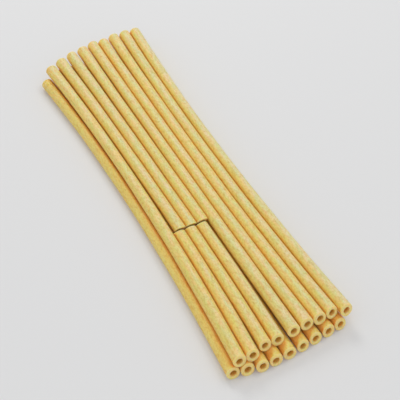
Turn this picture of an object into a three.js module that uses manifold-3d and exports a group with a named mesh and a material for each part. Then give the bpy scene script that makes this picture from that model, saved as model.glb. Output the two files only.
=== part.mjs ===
// A bundle of long dry hollow pasta, lying flat in two layers. Millimetres, +Z up.
// The strands run along X. Their front ends, with the bores in sight, are at +X.
import * as THREE from "three";
import { mergeVertices } from "three/addons/utils/BufferGeometryUtils.js";
import Module from "manifold-3d";

// Driving dimensions of one strand, its diameters halfway along
const LENGTH = 255;
const OUTER_DIAMETER = 6.6;
const BORE_DIAMETER = 3.35;

// How much thicker a strand is at its ends than halfway along
const END_FLARE = 0.075;

// How far back a slanted cut leans for each millimetre up
const FRONT_SLANT = 0.3;

// Spacing between neighbours: closest halfway along, wider towards both ends
const WAIST_PITCH = 6.68;
const END_PITCH = 7.75;

// The broken place that three strands of the upper layer share, snapped at a forward slant
const BREAK_X = 40.9;
const BREAK_GAP = 0.5;
const BREAK_SLANT = -0.5;

// Faceting
const SIDES = 12;
const BORE_SIDES = 8;
const SEGMENT_LENGTH = 43;

// The webs that join the strands inside the bundle
const WEB_SETBACK = 14;
const LOWER_WEB_BOTTOM = 2;
const LOWER_WEB_TOP = 4.4;
const UPPER_WEB_BOTTOM = 4.1;
const UPPER_WEB_TOP = 7;
const WEB_STATIONS = 8;
const BORE_RUNOUT = 0.2;

const RADIUS = OUTER_DIAMETER / 2;
const FLAT_RADIUS = RADIUS * Math.cos(Math.PI / SIDES);

// A strand in its lane, with 0 over the middle of the bundle and one lane for each pitch. Its ends
// stand out of the nominal length, or back from it where negative, and each drifts to one side.
function strand(lane, backOut, backDrift, frontOut, frontDrift) {
  return {
    lane,
    backX: -LENGTH / 2 - backOut,
    frontX: LENGTH / 2 + frontOut,
    backDrift,
    frontDrift,
    backSlant: 0,
    frontSlant: FRONT_SLANT,
  };
}

const lowerStrands = [
  strand(-4.7, -12, -1.4, 4.6, 1),
  strand(-3.5, -6, -1.4, 6, -1),
  strand(-2.5, -5, -0.8, 7.5, -1.3),
  strand(-1.5, -6, -0.5, 7.5, -1.5),
  strand(-0.5, -4.5, -0.3, 7, -1.4),
  strand(0.5, -6, -0.3, 6, -1.1),
  strand(1.5, -5, -0.4, 5, -1),
  strand(2.5, -6, -0.4, 4, -0.6),
  strand(3.5, -5.5, -0.6, 3, -0.9),
  strand(4.51, -7, -1, -9, -1.3),
];

const upperWholeStrands = [
  strand(-4.02, -7.5, -1.1, 3.5, -0.4),
  strand(0.09, 3, 0.4, 0.2, -0.2),
  strand(1.09, 2.8, -0.1, -0.5, 0),
  strand(2.09, 4.5, 0, -0.7, -0.2),
  strand(3.09, 4.5, 0, -1.2, -0.5),
  strand(4.1, 4, -0.5, 0.8, -1),
];

// The back piece of a broken strand, pushed to the right at the break
function backPiece(lane, backOut, backDrift, pushRight) {
  return {
    ...strand(lane, backOut, backDrift, 0, pushRight),
    frontX: BREAK_X - BREAK_GAP / 2,
    frontSlant: BREAK_SLANT,
  };
}

// The front piece of a broken strand, pushed to the left at the break
function frontPiece(lane, pushLeft, frontOut, frontDrift) {
  return {
    ...strand(lane, 0, -pushLeft, frontOut, frontDrift),
    backX: BREAK_X + BREAK_GAP / 2,
    backSlant: BREAK_SLANT,
  };
}

const upperBrokenPieces = [
  backPiece(-3.02, -3.5, -0.35, 1.1),
  backPiece(-1.99, -0.5, 0.25, 0.8),
  backPiece(-0.95, 1, 0.5, 0.4),
  frontPiece(-3.05, 0.05, 3.3, -0.8),
  frontPiece(-2.07, 0.05, 1, -0.2),
  frontPiece(-1.06, 0.3, 0.7, -0.8),
];

// How many times thicker than halfway along a strand is
function flareAt(x) {
  return 1 + END_FLARE * ((2 * x) / LENGTH) ** 2;
}

function pitchAt(x) {
  const along = (2 * x) / LENGTH;
  return WAIST_PITCH + (END_PITCH - WAIST_PITCH) * along * along;
}

function sideAt({ lane, backX, frontX, backDrift, frontDrift }, x) {
  const along = (x - backX) / (frontX - backX);
  return lane * pitchAt(x) + backDrift * (1 - along) ** 3 + frontDrift * along ** 3;
}

function lowerHeight(x) {
  return FLAT_RADIUS * flareAt(x);
}

// An upper strand rests on the nearer of the two lower strands below it.
function restingHeight(y, x) {
  const toSide = Math.min(...lowerStrands.map((lower) => Math.abs(y - sideAt(lower, x))));
  return lowerHeight(x) + Math.sqrt((OUTER_DIAMETER * flareAt(x)) ** 2 - toSide ** 2);
}

function lowerCentre(piece) {
  return (x) => ({ y: sideAt(piece, x), z: lowerHeight(x) });
}

function upperCentre(piece) {
  return (x) => {
    const y = sideAt(piece, x);
    return { y, z: restingHeight(y, x) };
  };
}

const wasm = await Module();
wasm.setup();

function solidOf(geometry) {
  geometry.deleteAttribute("normal");
  geometry.deleteAttribute("uv");
  const merged = mergeVertices(geometry, 1e-4);
  return new wasm.Manifold(
    new wasm.Mesh({
      numProp: 3,
      vertProperties: merged.getAttribute("position").array,
      triVerts: new Uint32Array(merged.index.array),
    }),
  );
}

function geometryOf(solid) {
  const { vertProperties, triVerts } = solid.getMesh();
  const geometry = new THREE.BufferGeometry();
  geometry.setAttribute("position", new THREE.BufferAttribute(vertProperties, 3));
  geometry.setIndex(new THREE.BufferAttribute(triVerts, 1));
  geometry.computeVertexNormals();
  return geometry;
}

function slantAt({ backX, frontX, backSlant, frontSlant }, x) {
  if (x > frontX - SEGMENT_LENGTH / 4) return frontSlant;
  if (x < backX + SEGMENT_LENGTH / 4) return backSlant;
  return 0;
}

// A prism along X with a flat side down, bent so that its axis follows the centre line.
// Its ends lean as the strand's cuts do.
function bentPrism(piece, centreAt, radius, sides, runout) {
  const length = piece.frontX - piece.backX + 2 * runout;
  const segments = Math.round(length / SEGMENT_LENGTH);
  const geometry = new THREE.CylinderGeometry(
    radius, radius, length, sides, segments, false, Math.PI / sides,
  );
  geometry.rotateZ(-Math.PI / 2);
  geometry.translate((piece.backX + piece.frontX) / 2, 0, 0);
  const points = geometry.getAttribute("position");
  for (let i = 0; i < points.count; i++) {
    const x = points.getX(i);
    const centre = centreAt(x);
    const across = points.getY(i) * flareAt(x);
    const up = points.getZ(i) * flareAt(x);
    points.setXYZ(i, x - slantAt(piece, x) * up, centre.y + across, centre.z + up);
  }
  return solidOf(geometry);
}

function strandBody({ piece, centreAt }) {
  return bentPrism(piece, centreAt, RADIUS, SIDES, 0);
}

function strandBore({ piece, centreAt }) {
  return bentPrism(piece, centreAt, BORE_DIAMETER / 2, BORE_SIDES, BORE_RUNOUT);
}

// A flat plate from the centre line of the first strand of a layer to that of the last one.
function web(first, last, bottom, top) {
  const reach = LENGTH / 2 - WEB_SETBACK;
  const outline = [];
  for (let i = 0; i <= WEB_STATIONS; i++) {
    const x = reach * ((2 * i) / WEB_STATIONS - 1);
    outline.push(new THREE.Vector2(x, sideAt(first, x)));
    outline.unshift(new THREE.Vector2(x, sideAt(last, x)));
  }
  const options = { depth: top - bottom, bevelEnabled: false };
  const geometry = new THREE.ExtrudeGeometry(new THREE.Shape(outline), options);
  geometry.translate(0, 0, bottom);
  return solidOf(geometry);
}

function join(solids) {
  return solids.reduce((joined, solid) => joined.add(solid));
}

function makeBundle() {
  const pieces = [
    ...lowerStrands.map((piece) => ({ piece, centreAt: lowerCentre(piece) })),
    ...[...upperWholeStrands, ...upperBrokenPieces].map((piece) => ({
      piece,
      centreAt: upperCentre(piece),
    })),
  ];
  const webs = [
    web(lowerStrands[0], lowerStrands.at(-1), LOWER_WEB_BOTTOM, LOWER_WEB_TOP),
    web(upperWholeStrands[0], upperWholeStrands.at(-1), UPPER_WEB_BOTTOM, UPPER_WEB_TOP),
  ];
  const whole = join([...webs, ...pieces.map(strandBody)]);
  return whole.subtract(join(pieces.map(strandBore)));
}

const semolina = new THREE.MeshStandardMaterial({
  color: "#e0bf6c",
  roughness: 0.55,
  metalness: 0,
});

// The origin is under the middle of the bundle, on the surface that it lies on.
function placeOnOrigin(mesh) {
  mesh.geometry.computeBoundingBox();
  const { min, max } = mesh.geometry.boundingBox;
  mesh.position.set(-(min.x + max.x) / 2, -(min.y + max.y) / 2, -min.z);
}

const pasta = new THREE.Mesh(geometryOf(makeBundle()), semolina);
pasta.name = "pasta_bundle";
placeOnOrigin(pasta);

const bundle = new THREE.Group();
bundle.add(pasta);

export default bundle;
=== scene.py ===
"""A bundle of long dry hollow pasta, two layers deep, on a plain pale floor."""

import math

import bpy
import numpy as np
from mathutils import Matrix, Vector


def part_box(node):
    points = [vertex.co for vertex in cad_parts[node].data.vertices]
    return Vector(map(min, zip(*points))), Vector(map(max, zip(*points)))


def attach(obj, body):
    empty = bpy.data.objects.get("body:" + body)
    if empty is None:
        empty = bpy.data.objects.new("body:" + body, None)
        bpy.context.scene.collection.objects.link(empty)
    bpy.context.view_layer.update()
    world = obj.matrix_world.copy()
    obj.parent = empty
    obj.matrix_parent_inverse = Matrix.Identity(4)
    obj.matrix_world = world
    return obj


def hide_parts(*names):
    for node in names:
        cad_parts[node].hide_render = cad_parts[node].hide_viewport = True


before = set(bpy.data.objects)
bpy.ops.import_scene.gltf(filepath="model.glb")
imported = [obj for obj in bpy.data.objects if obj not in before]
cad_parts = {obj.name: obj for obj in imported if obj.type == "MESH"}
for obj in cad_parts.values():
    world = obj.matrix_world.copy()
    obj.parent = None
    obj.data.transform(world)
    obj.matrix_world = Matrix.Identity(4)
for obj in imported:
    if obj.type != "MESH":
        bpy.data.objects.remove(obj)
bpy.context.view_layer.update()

MM = 0.001

# One strand, in millimetres, its radii halfway along
LENGTH = 255.0
OUTER_RADIUS = 3.3
BORE_RADIUS = 1.675

# How far back a front cut leans for each millimetre up
FRONT_SLANT = 0.3

# The rounding of the outer and the inner edge of every cut, in millimetres
OUTER_ROUNDING = 0.6
BORE_ROUNDING = 0.3

# How much thicker a strand is at its ends than halfway along
END_FLARE = 0.075

# How high the middle of a lower strand lies, as a share of its radius: a little lower than a
# round strand's, as if it lay on one of twelve flat sides
FLAT_SIDES = 12
HEIGHT_SHARE = math.cos(math.pi / FLAT_SIDES)

# Spacing between neighbours: closest halfway along, wider towards both ends
WAIST_PITCH = 6.68
END_PITCH = 7.75

# The broken place that three strands of the upper layer share, snapped at a forward slant
BREAK_X = 40.9
BREAK_GAP = 0.5
BREAK_SLANT = -0.5

# Mesh density: points around a tube, millimetres between rings on its wall and in its bore, and
# steps on a rounded edge
SIDES = 32
WALL_STEP = 3.5
BORE_STEP = 16.0
ROUNDING_STEPS = 4

# How far behind a cut the wall and the bore begin, and how far the shape of a cut reaches along
# the strand, in millimetres
NEAR_END = 0.9
BORE_MOUTH = 1.6
END_REACH = 9.0

# How far to each side of a place the slope of the centre line is measured, in millimetres
SLOPE_STEP = 0.5

# Unevenness of a strand, as shares of its radius
THICKNESS_SPREAD = 0.025
OVAL_SHARE = 0.018
WAVE_SHARE = 0.013
CUT_TILT = 0.03

# Unevenness in millimetres, and how many ripples run around a cut
BORE_OFF_CENTRE = 0.18
CUT_WAVE = 0.03
CUT_RIPPLES = 3

# How many millimetres along a strand its waves and its oval take to turn by one radian
SHORT_WAVE = 11
LONG_WAVE = 27
OVAL_TWIST = 60

# How many random turns the unevenness of each strand or piece starts from
TURN_COUNT = 7
RANDOM_SEED = 7

# The photograph's viewpoint, in degrees and millimetres, with its focal length as a share of the
# picture's width
AZIMUTH = 63.0
ELEVATION = 46.0
DISTANCE = 578.0
AIM = (15.4, 6.1, 0.0)
FOCAL_SHARE = 2.54
SENSOR_MM = 36.0

# Colours, as linear red, green and blue
# From cream down to rust these run from the painted highlight on the side facing the light to the
# painted shade on the undersides and in the crevices
GREEN_CREAM = (0.72, 0.67, 0.33)
PEACH_CREAM = (0.8, 0.66, 0.38)
LEAF_YELLOW = (0.76, 0.65, 0.19)
WARM_YELLOW = (0.84, 0.62, 0.23)
GOLD = (0.84, 0.65, 0.2)
AMBER = (0.88, 0.59, 0.14)
SHADE_RUST = (0.84, 0.42, 0.09)
# Painted light that makes the cut faces paler
CUT_CREAM = (0.86, 0.66, 0.27)
# Painted shade deep in the bores
BORE_SHADE_AMBER = (0.68, 0.36, 0.06)
FLOOR_GREY = (0.74, 0.745, 0.745)

# Tints that the skin's colour is multiplied by
SPECK = (0.93, 0.86, 0.74)
OCHRE = (0.88, 0.72, 0.42)
WHITE = (1.0, 1.0, 1.0)

# The direction that the painted light falls from, which the palest side of a strand faces, and how
# much a surface has to face that way, as a cosine, to take the darkest painted shade and the
# palest painted highlight
PAINTED_LIGHT_DIRECTION = (0.0, 0.5, 0.866)
PAINTED_LIGHT_RANGE = (-0.75, 0.95)

# How much the tone wavers along a strand, and how much it differs between strands
WAVER = 0.6
TONE_SPREAD = 0.1

# The painted shade in the crevices of each layer: its strength, and how far from a neighbour's
# wall it reaches, in millimetres. It falls off faster along a strand.
LOWER_CREVICE_SHADE = (2.1, 3.0)
UPPER_CREVICE_SHADE = (1.2, 1.95)
ALONG_FALLOFF = 2.0

# Tones from -0.5 to 1 take up the whole of the colour ramps
RAMP_SCALE = 0.667
RAMP_SHIFT = 0.333

# The colour ramps, as places from 0 to 1 with their colours, from painted shade at 0 to painted
# highlight at 1
PAINTED_SHADE_STOPS = [(0.0, SHADE_RUST), (0.2, AMBER), (0.45, GOLD)]
GREEN_STOPS = [*PAINTED_SHADE_STOPS, (0.66, LEAF_YELLOW), (0.9, GREEN_CREAM)]
PEACH_STOPS = [*PAINTED_SHADE_STOPS, (0.72, WARM_YELLOW), (0.97, PEACH_CREAM)]
SPECK_STOPS = [(0.36, SPECK), (0.52, WHITE)]

# The noise values between which peach patches and ochre blots grow to full strength
PATCH_RANGE = (0.44, 0.56)
BLOT_RANGE = (0.48, 0.85)

# Fineness of the noises along X, Y and Z, per metre
WAVER_SCALE = (70, 380, 380)
PATCH_SCALE = (110, 380, 380)
BLOT_SCALE = (380, 800, 800)
GRAIN_SCALE = (900, 1500, 1500)
LINE_SCALE = (60, 1600, 1600)
NOISE_DETAIL = 2.0

# The relief of the surface: how strong its long lines are beside its grain, and the strength
# and the height in metres of both
LINE_SHARE = 0.5
RELIEF = {"Strength": 0.3, "Distance": 0.0001}

# How much of its paler cream, painted light, a cut face shows
CUT_SHARE = 0.75

# A soft sheen, and light that goes a few millimetres in, its red the furthest
PASTA_SURFACE = {
    "Roughness": 0.5,
    "Specular IOR Level": 0.35,
    "Subsurface Weight": 0.7,
    "Subsurface Radius": (1.0, 0.6, 0.25),
    "Subsurface Scale": 0.004,
}

# A dull floor, its width in metres
FLOOR_ROUGHNESS = 0.9
FLOOR_SIZE = 6.0

# Round lamps: name, place and width in metres, and power in watts
LAMPS = [
    ("window_light", (-0.3, 0.75, 1.1), 0.45, 2.8),
    ("front_light", (0.93, -0.47, 1.08), 0.3, 4.4),
    ("back_light", (-0.8, 0.1, 0.75), 0.4, 2.7),
]
LAMP_COLOUR = (1.0, 0.975, 0.93)
ROOM_COLOUR = (0.95, 0.96, 1.0)
ROOM_STRENGTH = 0.6

# Sockets of a node that mixes colours
MIX_AMOUNT = 0
MIX_FIRST = 6
MIX_SECOND = 7
MIX_RESULT = 2

# Each strand: lane, how far its back end stands out, how far that end drifts sideways,
# and the same for its front end
LOWER_STRANDS = [
    (-4.7, -12, -1.4, 4.6, 1),
    (-3.5, -6, -1.4, 6, -1),
    (-2.5, -5, -0.8, 7.5, -1.3),
    (-1.5, -6, -0.5, 7.5, -1.5),
    (-0.5, -4.5, -0.3, 7, -1.4),
    (0.5, -6, -0.3, 6, -1.1),
    (1.5, -5, -0.4, 5, -1),
    (2.5, -6, -0.4, 4, -0.6),
    (3.5, -5.5, -0.6, 3, -0.9),
    (4.51, -7, -1, -9, -1.3),
]
UPPER_WHOLE_STRANDS = [
    (-4.02, -7.5, -1.1, 3.5, -0.4),
    (0.09, 3, 0.4, 0.2, -0.2),
    (1.09, 2.8, -0.1, -0.5, 0),
    (2.09, 4.5, 0, -0.7, -0.2),
    (3.09, 4.5, 0, -1.2, -0.5),
    (4.1, 4, -0.5, 0.8, -1),
]

# Back pieces of the broken strands: lane, the same for the back end, and how far the break
# pushes the piece to the right
BACK_PIECES = [
    (-3.02, -3.5, -0.35, 1.1),
    (-1.99, -0.5, 0.25, 0.8),
    (-0.95, 1, 0.5, 0.4),
]

# Front pieces: lane, how far the break pushes the piece to the left, and the front end
FRONT_PIECES = [
    (-3.05, 0.05, 3.3, -0.8),
    (-2.07, 0.05, 1, -0.2),
    (-1.06, 0.3, 0.7, -0.8),
]


class Strand:
    """A straight or gently bent strand in its lane of one layer."""

    def __init__(self, lane, back_out, back_drift, front_out, front_drift):
        self.lane = lane
        self.back_x = -LENGTH / 2 - back_out
        self.front_x = LENGTH / 2 + front_out
        self.back_drift = back_drift
        self.front_drift = front_drift
        self.back_slant = 0
        self.front_slant = FRONT_SLANT
        self.partner = None

    def side_at(self, x):
        along = (x - self.back_x) / (self.front_x - self.back_x)
        pitch = WAIST_PITCH + (END_PITCH - WAIST_PITCH) * (2 * x / LENGTH) ** 2
        return (
            self.lane * pitch
            + self.back_drift * (1 - along) ** 3
            + self.front_drift * along**3
        )


lower_strands = [Strand(*row) for row in LOWER_STRANDS]


def flare_at(x):
    """How many times thicker than halfway along a strand is."""
    return 1 + END_FLARE * (2 * x / LENGTH) ** 2


def lower_centre(strand, x):
    return np.stack([x, strand.side_at(x), OUTER_RADIUS * HEIGHT_SHARE * flare_at(x)], axis=-1)


def upper_centre(strand, x):
    """An upper strand rests on the nearer of the two lower strands below it."""
    y = strand.side_at(x)
    radius = OUTER_RADIUS * flare_at(x)
    to_side = np.min([np.abs(y - lower.side_at(x)) for lower in lower_strands], axis=0)
    z = radius * HEIGHT_SHARE + np.sqrt((2 * radius) ** 2 - to_side**2)
    return np.stack([x, y, z], axis=-1)


def back_piece(lane, back_out, back_drift, push_right):
    piece = Strand(lane, back_out, back_drift, 0, push_right)
    piece.front_x = BREAK_X - BREAK_GAP / 2
    piece.front_slant = BREAK_SLANT
    return piece


def front_piece(lane, push_left, front_out, front_drift):
    piece = Strand(lane, 0, -push_left, front_out, front_drift)
    piece.back_x = BREAK_X + BREAK_GAP / 2
    piece.back_slant = BREAK_SLANT
    return piece


def broken_pieces():
    """The back pieces, then the front ones, each piece knowing the other one of its strand."""
    backs = [back_piece(*row) for row in BACK_PIECES]
    fronts = [front_piece(*row) for row in FRONT_PIECES]
    for back, front in zip(backs, fronts):
        back.partner, front.partner = front, back
    return backs + fronts


def rim_rings():
    """Rings of a cut end from the outside to the bore, as depth behind the cut and radius."""
    turns = np.linspace(0, math.pi / 2, ROUNDING_STEPS + 1)
    outer = [
        (OUTER_ROUNDING * (1 - math.sin(t)), OUTER_RADIUS - OUTER_ROUNDING * (1 - math.cos(t)))
        for t in turns
    ]
    inner = [
        (BORE_ROUNDING * (1 - math.cos(t)), BORE_RADIUS + BORE_ROUNDING * (1 - math.sin(t)))
        for t in turns
    ]
    return outer + inner


def ring_plan(strand):
    """Rings in order along the outside, over the front rim, back through the bore and over the
    back rim: each one's place along X, its radius, and its share of cut face and of bore wall."""
    start, end = strand.back_x, strand.front_x
    wall_xs = np.linspace(start + NEAR_END, end - NEAR_END, round((end - start) / WALL_STEP))
    bore_xs = np.linspace(end - BORE_MOUTH, start + BORE_MOUTH, round((end - start) / BORE_STEP))
    rim = rim_rings()
    rows = [(x, OUTER_RADIUS, 0, 0) for x in wall_xs]
    rows += [(end - depth, radius, 1, 0) for depth, radius in rim]
    rows += [(x, BORE_RADIUS, 0, 1) for x in bore_xs]
    rows += [(start + depth, radius, 1, 0) for depth, radius in reversed(rim)]
    return np.array(rows)


def axes_along(strand, centre_at, x):
    """Unit vectors along, across and up from the strand's centre line."""
    slope = centre_at(strand, x + SLOPE_STEP) - centre_at(strand, x - SLOPE_STEP)
    forward = slope / np.linalg.norm(slope, axis=1, keepdims=True)
    sideways = np.cross((0, 0, 1), forward)
    sideways /= np.linalg.norm(sideways, axis=1, keepdims=True)
    return forward, sideways, np.cross(forward, sideways)


def uneven_reach(x, radius, angle, thickness, turns):
    """How far each point of a tube lies from its middle."""
    short_turn, long_turn, oval_turn = turns
    wave = WAVE_SHARE * (np.sin(x / SHORT_WAVE + short_turn) + np.sin(x / LONG_WAVE + long_turn))
    oval = OVAL_SHARE * np.cos(2 * angle[None, :] + oval_turn + x[:, None] / OVAL_TWIST)
    return (radius * flare_at(x))[:, None] * thickness * (1 + wave[:, None] + oval)


def bore_shift(radius, sideways, upward, turn):
    """How far the middle of each ring lies off the centre line: most in the bore, 0 outside."""
    inner = np.clip((OUTER_RADIUS - radius) / (OUTER_RADIUS - BORE_RADIUS), 0, 1)
    return BORE_OFF_CENTRE * inner[:, None] * (math.cos(turn) * sideways + math.sin(turn) * upward)


def uneven_cut(radius, angle, tilt_turn, ripple_turn):
    """How far each point of a cut end stands back from a square cut."""
    tilt = CUT_TILT * radius[:, None] * (1 + np.cos(angle + tilt_turn))[None, :]
    return tilt + CUT_WAVE * (1 + np.sin(CUT_RIPPLES * angle + ripple_turn))[None, :]


def cut_shift(strand, x, radius, angle, turns):
    """How far the cuts move each point along the strand, less and less away from them."""
    front_turn, ripple_turn, back_turn = turns
    near_front = np.clip(1 - (strand.front_x - x) / END_REACH, 0, 1)[:, None]
    near_back = np.clip(1 - (x - strand.back_x) / END_REACH, 0, 1)[:, None]
    height = radius[:, None] * np.sin(angle)[None, :]
    front_cut = uneven_cut(radius, angle, front_turn, ripple_turn) + strand.front_slant * height
    back_cut = uneven_cut(radius, angle, back_turn, front_turn) - strand.back_slant * height
    return near_back * back_cut - near_front * front_cut


def tube_points(strand, centre_at, x, radius, draw):
    """Points of one uneven tube, as rings of SIDES points."""
    angle = np.linspace(0, 2 * math.pi, SIDES, endpoint=False)
    turns = draw.uniform(0, 2 * math.pi, TURN_COUNT)
    thickness = 1 + draw.uniform(-THICKNESS_SPREAD, THICKNESS_SPREAD)
    reach = uneven_reach(x, radius, angle, thickness, turns[:3])
    forward, sideways, upward = axes_along(strand, centre_at, x)
    across = reach[..., None] * (
        np.cos(angle)[None, :, None] * sideways[:, None, :]
        + np.sin(angle)[None, :, None] * upward[:, None, :]
    )
    middle = centre_at(strand, x) + bore_shift(radius, sideways, upward, turns[3])
    along = cut_shift(strand, x, radius, angle, turns[4:])
    return middle[:, None, :] + across + along[..., None] * forward[:, None, :]


def tube_faces(ring_count, first):
    """Quads between each ring and the next, the last ring joining the first."""
    ring = np.arange(ring_count)[:, None]
    side = np.arange(SIDES)[None, :]
    next_ring = (ring + 1) % ring_count
    next_side = (side + 1) % SIDES
    corners = (
        ring * SIDES + side,
        ring * SIDES + next_side,
        next_ring * SIDES + next_side,
        next_ring * SIDES + side,
    )
    quads = np.stack(corners, axis=-1).reshape(-1, 4)
    return quads + first


def crevice_shade_values(points, strand, neighbours, painted_crevice_shade):
    """Painted shade: full strength where a point touches another strand's wall, fading away from
    it.
    """
    strength, reach = painted_crevice_shade
    gap = np.full(points.shape[:-1], np.inf)
    for other, centre_at in neighbours:
        if other not in (strand, strand.partner):
            x = np.clip(points[..., 0], other.back_x, other.front_x)
            offset = (points - centre_at(other, x)) * (ALONG_FALLOFF, 1, 1)
            wall = OUTER_RADIUS * flare_at(x)
            gap = np.minimum(gap, np.linalg.norm(offset, axis=-1) - wall)
    return strength * np.exp(-np.maximum(gap, 0) / reach)


def add_values(mesh, name, values):
    """Gives each vertex a number that the material reads."""
    layer = mesh.attributes.new(name, "FLOAT", "POINT")
    layer.data.foreach_set("value", np.asarray(values, dtype=float))


def strands_object(name, strands, centre_at, painted_crevice_shade, neighbours, material, draw):
    """One mesh object that holds every strand of a kind."""
    points, faces = [], []
    values = {"strand_tone": [], "cut_face": [], "bore_wall": [], "painted_crevice_shade": []}
    count = 0
    for strand in strands:
        x, radius, cut_face, bore_wall = ring_plan(strand).T
        tube = tube_points(strand, centre_at, x, radius, draw)
        tone = draw.uniform(-TONE_SPREAD, TONE_SPREAD)
        points.append(tube.reshape(-1, 3))
        faces.append(tube_faces(len(x), count))
        values["strand_tone"].append(np.full(len(x) * SIDES, tone))
        values["cut_face"].append(np.repeat(cut_face, SIDES))
        values["bore_wall"].append(np.repeat(bore_wall, SIDES))
        values["painted_crevice_shade"].append(crevice_shade_values(tube, strand, neighbours, painted_crevice_shade).ravel())
        count += len(x) * SIDES
    mesh = bpy.data.meshes.new(name)
    mesh.from_pydata((np.concatenate(points) * MM).tolist(), [], np.concatenate(faces).tolist())
    mesh.polygons.foreach_set("use_smooth", [True] * len(mesh.polygons))
    for value_name, parts in values.items():
        add_values(mesh, value_name, np.concatenate(parts))
    mesh.materials.append(material)
    made = bpy.data.objects.new(name, mesh)
    bpy.context.scene.collection.objects.link(made)
    return made


def middle_of(objects):
    """The middle of the box around several meshes, in metres."""
    corners = []
    for thing in objects:
        places = np.empty(len(thing.data.vertices) * 3)
        thing.data.vertices.foreach_get("co", places)
        corners.append(places.reshape(-1, 3))
    every = np.concatenate(corners)
    return (every.min(axis=0) + every.max(axis=0)) / 2


def seat_on_frame(objects):
    """Moves the strands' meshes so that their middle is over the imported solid's middle."""
    low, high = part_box("pasta_bundle")
    middle = middle_of(objects)
    shift = ((low[0] + high[0]) / 2 - middle[0], (low[1] + high[1]) / 2 - middle[1], 0)
    for thing in objects:
        thing.data.transform(Matrix.Translation(shift))


def opaque(colour):
    return (*colour, 1.0)


def set_inputs(node, values):
    for name, value in values.items():
        node.inputs[name].default_value = value


def add_node(tree, kind, inputs=None, **settings):
    node = tree.nodes.new(kind)
    for name, value in settings.items():
        setattr(node, name, value)
    set_inputs(node, inputs or {})
    return node


def new_material(name):
    """A new material and its main shader."""
    material = bpy.data.materials.new(name)
    material.use_nodes = True
    return material, material.node_tree.nodes["Principled BSDF"]


def streaks(tree, scale):
    """Noise in metres, drawn out along the strands where the first scale is the smallest."""
    place = add_node(tree, "ShaderNodeTexCoord")
    stretch = add_node(tree, "ShaderNodeMapping", {"Scale": scale})
    noise = add_node(tree, "ShaderNodeTexNoise", {"Scale": 1.0, "Detail": NOISE_DETAIL})
    tree.links.new(place.outputs["Object"], stretch.inputs["Vector"])
    tree.links.new(stretch.outputs["Vector"], noise.inputs["Vector"])
    return noise.outputs["Fac"]


def ramp(tree, source, stops):
    node = add_node(tree, "ShaderNodeValToRGB")
    elements = node.color_ramp.elements
    while len(elements) < len(stops):
        elements.new(0.5)
    for element, (position, colour) in zip(elements, stops):
        element.position = position
        element.color = opaque(colour)
    tree.links.new(source, node.inputs["Fac"])
    return node.outputs["Color"]


def connect(tree, value, socket):
    """Links an output to the socket, or sets the socket to a plain value."""
    if isinstance(value, bpy.types.NodeSocket):
        tree.links.new(value, socket)
    else:
        socket.default_value = value


def calculate(tree, operation, *values):
    node = add_node(tree, "ShaderNodeMath", operation=operation)
    for value, socket in zip(values, node.inputs):
        connect(tree, value, socket)
    return node.outputs["Value"]


def blend_colours(tree, amount, first, second, blend="MIX"):
    node = add_node(tree, "ShaderNodeMix", data_type="RGBA", blend_type=blend)
    connect(tree, amount, node.inputs[MIX_AMOUNT])
    connect(tree, first, node.inputs[MIX_FIRST])
    connect(tree, second, node.inputs[MIX_SECOND])
    return node.outputs[MIX_RESULT]


def vertex_value(tree, name):
    return add_node(tree, "ShaderNodeAttribute", attribute_name=name).outputs["Fac"]


def spread(tree, value, low, high):
    """0 at the low value and below, 1 at the high value and above."""
    node = add_node(tree, "ShaderNodeMapRange", {"From Min": low, "From Max": high})
    tree.links.new(value, node.inputs["Value"])
    return node.outputs["Result"]


def skin_tone(tree):
    """Painted light: 0, the painted shade on the underside of a strand, to about 1, the painted
    highlight on the side facing the light, wavering along it, and less where painted shade fills
    the crevices."""
    facing = add_node(tree, "ShaderNodeVectorMath", operation="DOT_PRODUCT")
    facing.inputs[1].default_value = PAINTED_LIGHT_DIRECTION
    tree.links.new(add_node(tree, "ShaderNodeNewGeometry").outputs["Normal"], facing.inputs[0])
    # How far a surface faces the painted light: painted shade at 0, painted highlight at 1
    height = spread(tree, facing.outputs["Value"], *PAINTED_LIGHT_RANGE)
    waver = calculate(tree, "MULTIPLY_ADD", streaks(tree, WAVER_SCALE), WAVER, -WAVER / 2)
    uneven = calculate(tree, "ADD", waver, vertex_value(tree, "strand_tone"))
    open_tone = calculate(tree, "ADD", height, uneven)
    # Painted shade in the crevices lowers the tone
    return calculate(tree, "SUBTRACT", open_tone, vertex_value(tree, "painted_crevice_shade"))


def skin_colour(tree):
    """Rust-coloured painted shade in the crevices and on the undersides turns amber, golden, then
    the pale painted highlight on the side facing the light, in greenish and peach patches, with
    darker specks and ochre blots."""
    tone = calculate(tree, "MULTIPLY_ADD", skin_tone(tree), RAMP_SCALE, RAMP_SHIFT)
    green = ramp(tree, tone, GREEN_STOPS)
    peach = ramp(tree, tone, PEACH_STOPS)
    patches = spread(tree, streaks(tree, PATCH_SCALE), *PATCH_RANGE)
    skin = blend_colours(tree, patches, green, peach)
    specks = ramp(tree, streaks(tree, GRAIN_SCALE), SPECK_STOPS)
    speckled = blend_colours(tree, 1.0, skin, specks, "MULTIPLY")
    blots = spread(tree, streaks(tree, BLOT_SCALE), *BLOT_RANGE)
    return blend_colours(tree, blots, speckled, opaque(OCHRE), "MULTIPLY")


def strand_colour(tree):
    """The skin, with paler cut faces from painted light and painted shade in the bores."""
    cut_share = calculate(tree, "MULTIPLY", vertex_value(tree, "cut_face"), CUT_SHARE)
    with_cuts = blend_colours(tree, cut_share, skin_colour(tree), opaque(CUT_CREAM))
    return blend_colours(tree, vertex_value(tree, "bore_wall"), with_cuts, opaque(BORE_SHADE_AMBER))


def surface_relief(tree):
    """The tilt that a fine grain and long faint lines give to the surface."""
    grain = streaks(tree, GRAIN_SCALE)
    lines = streaks(tree, LINE_SCALE)
    relief = calculate(tree, "MULTIPLY_ADD", lines, LINE_SHARE, grain)
    bump = add_node(tree, "ShaderNodeBump", RELIEF)
    tree.links.new(relief, bump.inputs["Height"])
    return bump.outputs["Normal"]


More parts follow.
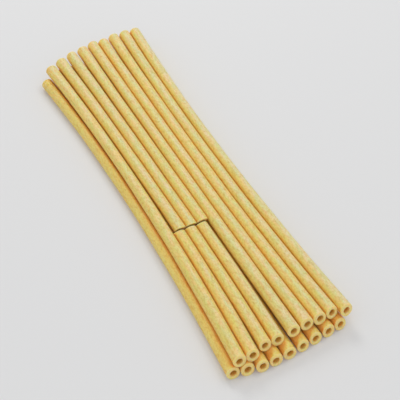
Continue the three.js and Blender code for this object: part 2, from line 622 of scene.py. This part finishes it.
def pasta_material():
    material, shader = new_material("dry_pasta")
    tree = material.node_tree
    tree.links.new(strand_colour(tree), shader.inputs["Base Color"])
    tree.links.new(surface_relief(tree), shader.inputs["Normal"])
    set_inputs(shader, PASTA_SURFACE)
    return material


def floor_material():
    material, shader = new_material("pale_floor")
    set_inputs(shader, {"Base Color": opaque(FLOOR_GREY), "Roughness": FLOOR_ROUGHNESS})
    return material


def make_floor():
    bpy.ops.mesh.primitive_plane_add(size=FLOOR_SIZE, location=(0, 0, 0))
    floor = bpy.context.object
    floor.name = "floor"
    floor.data.materials.append(floor_material())


def aim_at(thing, target):
    direction = Vector(target) - thing.location
    thing.rotation_euler = direction.to_track_quat("-Z", "Y").to_euler()


def make_lamp(name, place, width, power):
    light = bpy.data.lights.new(name, "AREA")
    light.shape = "DISK"
    light.size = width
    light.energy = power
    light.color = LAMP_COLOUR
    lamp = bpy.data.objects.new(name, light)
    lamp.location = place
    bpy.context.scene.collection.objects.link(lamp)
    aim_at(lamp, (0, 0, 0))


def make_room():
    """Pale light from all around."""
    world = bpy.data.worlds.new("soft_room")
    world.use_nodes = True
    background = world.node_tree.nodes["Background"]
    set_inputs(background, {"Color": opaque(ROOM_COLOUR), "Strength": ROOM_STRENGTH})
    bpy.context.scene.world = world


def make_lights():
    for lamp in LAMPS:
        make_lamp(*lamp)
    make_room()
    bpy.context.scene.view_settings.view_transform = "Standard"


def make_camera():
    turn = math.radians(AZIMUTH)
    rise = math.radians(ELEVATION)
    back = Vector((
        math.sin(turn) * math.cos(rise),
        -math.cos(turn) * math.cos(rise),
        math.sin(rise),
    ))
    data = bpy.data.cameras.new("camera")
    data.sensor_width = SENSOR_MM
    data.lens = SENSOR_MM * FOCAL_SHARE
    camera = bpy.data.objects.new("camera", data)
    aim = Vector(AIM) * MM
    camera.location = aim + back * DISTANCE * MM
    bpy.context.scene.collection.objects.link(camera)
    aim_at(camera, aim)
    bpy.context.scene.camera = camera


def make_bundle():
    draw = np.random.default_rng(RANDOM_SEED)
    pasta = pasta_material()
    upper_whole = [Strand(*row) for row in UPPER_WHOLE_STRANDS]
    kinds = [
        ("lower_strands", lower_strands, lower_centre, LOWER_CREVICE_SHADE),
        ("upper_strands", upper_whole, upper_centre, UPPER_CREVICE_SHADE),
        ("broken_strands", broken_pieces(), upper_centre, UPPER_CREVICE_SHADE),
    ]
    neighbours = [(strand, centre_at) for _, strands, centre_at, _ in kinds for strand in strands]
    layers = [strands_object(*kind, neighbours, pasta, draw) for kind in kinds]
    seat_on_frame(layers)
    for layer in layers:
        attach(layer, "root")
        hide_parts("pasta_bundle")


make_camera()
make_lights()
make_floor()
make_bundle()
